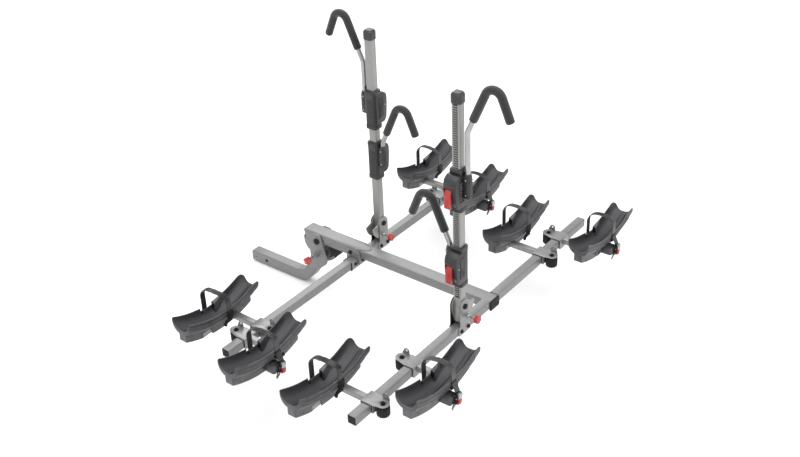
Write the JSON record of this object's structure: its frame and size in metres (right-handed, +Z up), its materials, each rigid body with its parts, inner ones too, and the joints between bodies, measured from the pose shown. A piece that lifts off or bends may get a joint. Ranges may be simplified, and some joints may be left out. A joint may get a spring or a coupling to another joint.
{
  "type": "hitch mounted bike rack",
  "caption": "Platform bike rack for a square receiver hitch: tilting spine, cross arms, sliding wheel trays with straps, and folding masts with sliding frame hooks.",
  "frame": {"origin": "centre of the hitch pin hole in the shank", "axes": "+X rearward along the shank and spine, away from the vehicle; -Y the near side of the picture; +Z up"},
  "size_m": [1.549, 1.919, 1.3221],
  "materials": {
    "silver_paint": "satin",
    "carriage_metal": "satin",
    "mast_metal": "satin",
    "bright_steel": "satin",
    "tray_plastic": "matte",
    "slider_plastic": "matte",
    "strap_plastic": "satin",
    "black_plastic": "matte",
    "cap_plastic": "matte",
    "red_plastic": "gloss",
    "foam_grip": "matte"
  },
  "bodies": {
    "hitch": {"hitch_shank": "silver_paint"},
    "tilt_pin": {"tilt_lock_pin": "bright_steel"},
    "rack": {"spine_sleeve": "silver_paint", "rear_frame": "silver_paint", "front_arm": "silver_paint", "end_caps": "cap_plastic", "front_saddle": "silver_paint", "mast_brackets": "silver_paint"},
    "mast_front": {"front_mast": "mast_metal"},
    "mast_rear": {"rear_mast": "mast_metal"},
    "pin_front": {"front_mast_pin": "bright_steel"},
    "pin_rear": {"rear_mast_pin": "bright_steel"},
    "slider_front_upper": {"front_upper_slider": "slider_plastic", "front_upper_rod": "bright_steel", "front_upper_grip": "foam_grip"},
    "lever_front_upper": {"front_upper_lever": "red_plastic"},
    "slider_front_lower": {"front_lower_slider": "slider_plastic", "front_lower_rod": "bright_steel", "front_lower_grip": "foam_grip"},
    "lever_front_lower": {"front_lower_lever": "red_plastic"},
    "slider_rear_upper": {"rear_upper_slider": "slider_plastic", "rear_upper_rod": "bright_steel", "rear_upper_grip": "foam_grip"},
    "lever_rear_upper": {"rear_upper_lever": "red_plastic"},
    "slider_rear_lower": {"rear_lower_slider": "slider_plastic", "rear_lower_rod": "bright_steel", "rear_lower_grip": "foam_grip"},
    "lever_rear_lower": {"rear_lower_lever": "red_plastic"},
    "carrier_1": {"carriage_1": "carriage_metal", "tray_1": "tray_plastic", "strap_1": "strap_plastic"},
    "clamp_1": {"knob_1": "black_plastic"},
    "carrier_2": {"carriage_2": "carriage_metal", "tray_2": "tray_plastic", "strap_2": "strap_plastic"},
    "clamp_2": {"knob_2": "black_plastic"},
    "carrier_3": {"carriage_3": "carriage_metal", "tray_3": "tray_plastic", "strap_3": "strap_plastic"},
    "clamp_3": {"knob_3": "black_plastic"},
    "carrier_4": {"carriage_4": "carriage_metal", "tray_4": "tray_plastic", "strap_4": "strap_plastic"},
    "clamp_4": {"knob_4": "black_plastic"},
    "carrier_5": {"carriage_5": "carriage_metal", "tray_5": "tray_plastic", "strap_5": "strap_plastic"},
    "clamp_5": {"knob_5": "black_plastic"},
    "carrier_6": {"carriage_6": "carriage_metal", "tray_6": "tray_plastic", "strap_6": "strap_plastic"},
    "clamp_6": {"knob_6": "black_plastic"},
    "carrier_7": {"carriage_7": "carriage_metal", "tray_7": "tray_plastic", "strap_7": "strap_plastic"},
    "clamp_7": {"knob_7": "black_plastic"},
    "carrier_8": {"carriage_8": "carriage_metal", "tray_8": "tray_plastic", "strap_8": "strap_plastic"},
    "clamp_8": {"knob_8": "black_plastic"}
  },
  "joints": [
    {"name": "rack_tilt", "type": "hinge", "parent": "hitch", "child": "rack", "pos_m": [0.34, 0, 0.236], "axis": [0, -1, 0], "range_deg": [0, 90]},
    {"name": "tilt_pin_pull", "type": "slide", "parent": "hitch", "child": "tilt_pin", "axis": [0, -1, 0], "range_m": [0, 0.016], "stiffness_N_per_m": 900},
    {"name": "front_mast_fold", "type": "hinge", "parent": "rack", "child": "mast_front", "pos_m": [0.541, 0.15, 0.311], "axis": [1, 0, 0], "range_deg": [0, 60]},
    {"name": "rear_mast_fold", "type": "hinge", "parent": "rack", "child": "mast_rear", "pos_m": [1.212, -0.207, 0.357], "axis": [-1, 0, 0], "range_deg": [0, 60]},
    {"name": "front_mast_pin_pull", "type": "slide", "parent": "rack", "child": "pin_front", "axis": [1, 0, 0], "range_m": [0, 0.014], "stiffness_N_per_m": 700},
    {"name": "rear_mast_pin_pull", "type": "slide", "parent": "rack", "child": "pin_rear", "axis": [1, 0, 0], "range_m": [0, 0.014], "stiffness_N_per_m": 700},
    {"name": "front_upper_slide", "type": "slide", "parent": "mast_front", "child": "slider_front_upper", "axis": [0, 0, 1], "range_m": [-0.02, 0.15]},
    {"name": "front_upper_lever_squeeze", "type": "hinge", "parent": "slider_front_upper", "child": "lever_front_upper", "pos_m": [0.541, 0.19, 0.86], "axis": [1, 0, 0], "range_deg": [0, 12], "stiffness_Nm_per_rad": 1.5},
    {"name": "front_lower_slide", "type": "slide", "parent": "mast_front", "child": "slider_front_lower", "axis": [0, 0, 1], "range_m": [-0.1, 0.02]},
    {"name": "front_lower_lever_squeeze", "type": "hinge", "parent": "slider_front_lower", "child": "lever_front_lower", "pos_m": [0.541, 0.19, 0.628], "axis": [1, 0, 0], "range_deg": [0, 12], "stiffness_Nm_per_rad": 1.5},
    {"name": "rear_upper_slide", "type": "slide", "parent": "mast_rear", "child": "slider_rear_upper", "axis": [0, 0, 1], "range_m": [-0.02, 0.18]},
    {"name": "rear_upper_lever_squeeze", "type": "hinge", "parent": "slider_rear_upper", "child": "lever_rear_upper", "pos_m": [1.212, -0.247, 0.872], "axis": [-1, 0, 0], "range_deg": [0, 12], "stiffness_Nm_per_rad": 1.5},
    {"name": "rear_lower_slide", "type": "slide", "parent": "mast_rear", "child": "slider_rear_lower", "axis": [0, 0, 1], "range_m": [-0.05, 0.08]},
    {"name": "rear_lower_lever_squeeze", "type": "hinge", "parent": "slider_rear_lower", "child": "lever_rear_lower", "pos_m": [1.212, -0.247, 0.548], "axis": [-1, 0, 0], "range_deg": [0, 12], "stiffness_Nm_per_rad": 1.5},
    {"name": "carrier_1_slide", "type": "slide", "parent": "rack", "child": "carrier_1", "axis": [0, 1, 0], "range_m": [-0.008, 0.15]},
    {"name": "clamp_1_turn", "type": "hinge", "parent": "carrier_1", "child": "clamp_1", "pos_m": [0.592, -0.612, 0.203], "axis": [0, 0, 1], "continuous": true},
    {"name": "carrier_2_slide", "type": "slide", "parent": "rack", "child": "carrier_2", "axis": [0, 1, 0], "range_m": [-0.06, 0.008]},
    {"name": "clamp_2_turn", "type": "hinge", "parent": "carrier_2", "child": "clamp_2", "pos_m": [0.49, -0.692, 0.203], "axis": [0, 0, 1], "continuous": true},
    {"name": "carrier_3_slide", "type": "slide", "parent": "rack", "child": "carrier_3", "axis": [0, 1, 0], "range_m": [-0.07, 0.07]},
    {"name": "clamp_3_turn", "type": "hinge", "parent": "carrier_3", "child": "clamp_3", "pos_m": [1.263, -0.75, 0.249], "axis": [0, 0, 1], "continuous": true},
    {"name": "carrier_4_slide", "type": "slide", "parent": "rack", "child": "carrier_4", "axis": [0, 1, 0], "range_m": [-0.07, 0.1]},
    {"name": "clamp_4_turn", "type": "hinge", "parent": "carrier_4", "child": "clamp_4", "pos_m": [1.161, -0.506, 0.249], "axis": [0, 0, 1], "continuous": true},
    {"name": "carrier_5_slide", "type": "slide", "parent": "rack", "child": "carrier_5", "axis": [0, 1, 0], "range_m": [-0.008, 0.04]},
    {"name": "clamp_5_turn", "type": "hinge", "parent": "carrier_5", "child": "clamp_5", "pos_m": [0.592, 0.68, 0.203], "axis": [0, 0, 1], "continuous": true},
    {"name": "carrier_6_slide", "type": "slide", "parent": "rack", "child": "carrier_6", "axis": [0, 1, 0], "range_m": [-0.15, 0.008]},
    {"name": "clamp_6_turn", "type": "hinge", "parent": "carrier_6", "child": "clamp_6", "pos_m": [0.49, 0.598, 0.203], "axis": [0, 0, 1], "continuous": true},
    {"name": "carrier_7_slide", "type": "slide", "parent": "rack", "child": "carrier_7", "axis": [0, 1, 0], "range_m": [-0.06, 0.05]},
    {"name": "clamp_7_turn", "type": "hinge", "parent": "carrier_7", "child": "clamp_7", "pos_m": [1.263, 0.385, 0.249], "axis": [0, 0, 1], "continuous": true},
    {"name": "carrier_8_slide", "type": "slide", "parent": "rack", "child": "carrier_8", "axis": [0, 1, 0], "range_m": [-0.04, 0.08]},
    {"name": "clamp_8_turn", "type": "hinge", "parent": "carrier_8", "child": "clamp_8", "pos_m": [1.161, 0.53, 0.249], "axis": [0, 0, 1], "continuous": true}
  ]
}
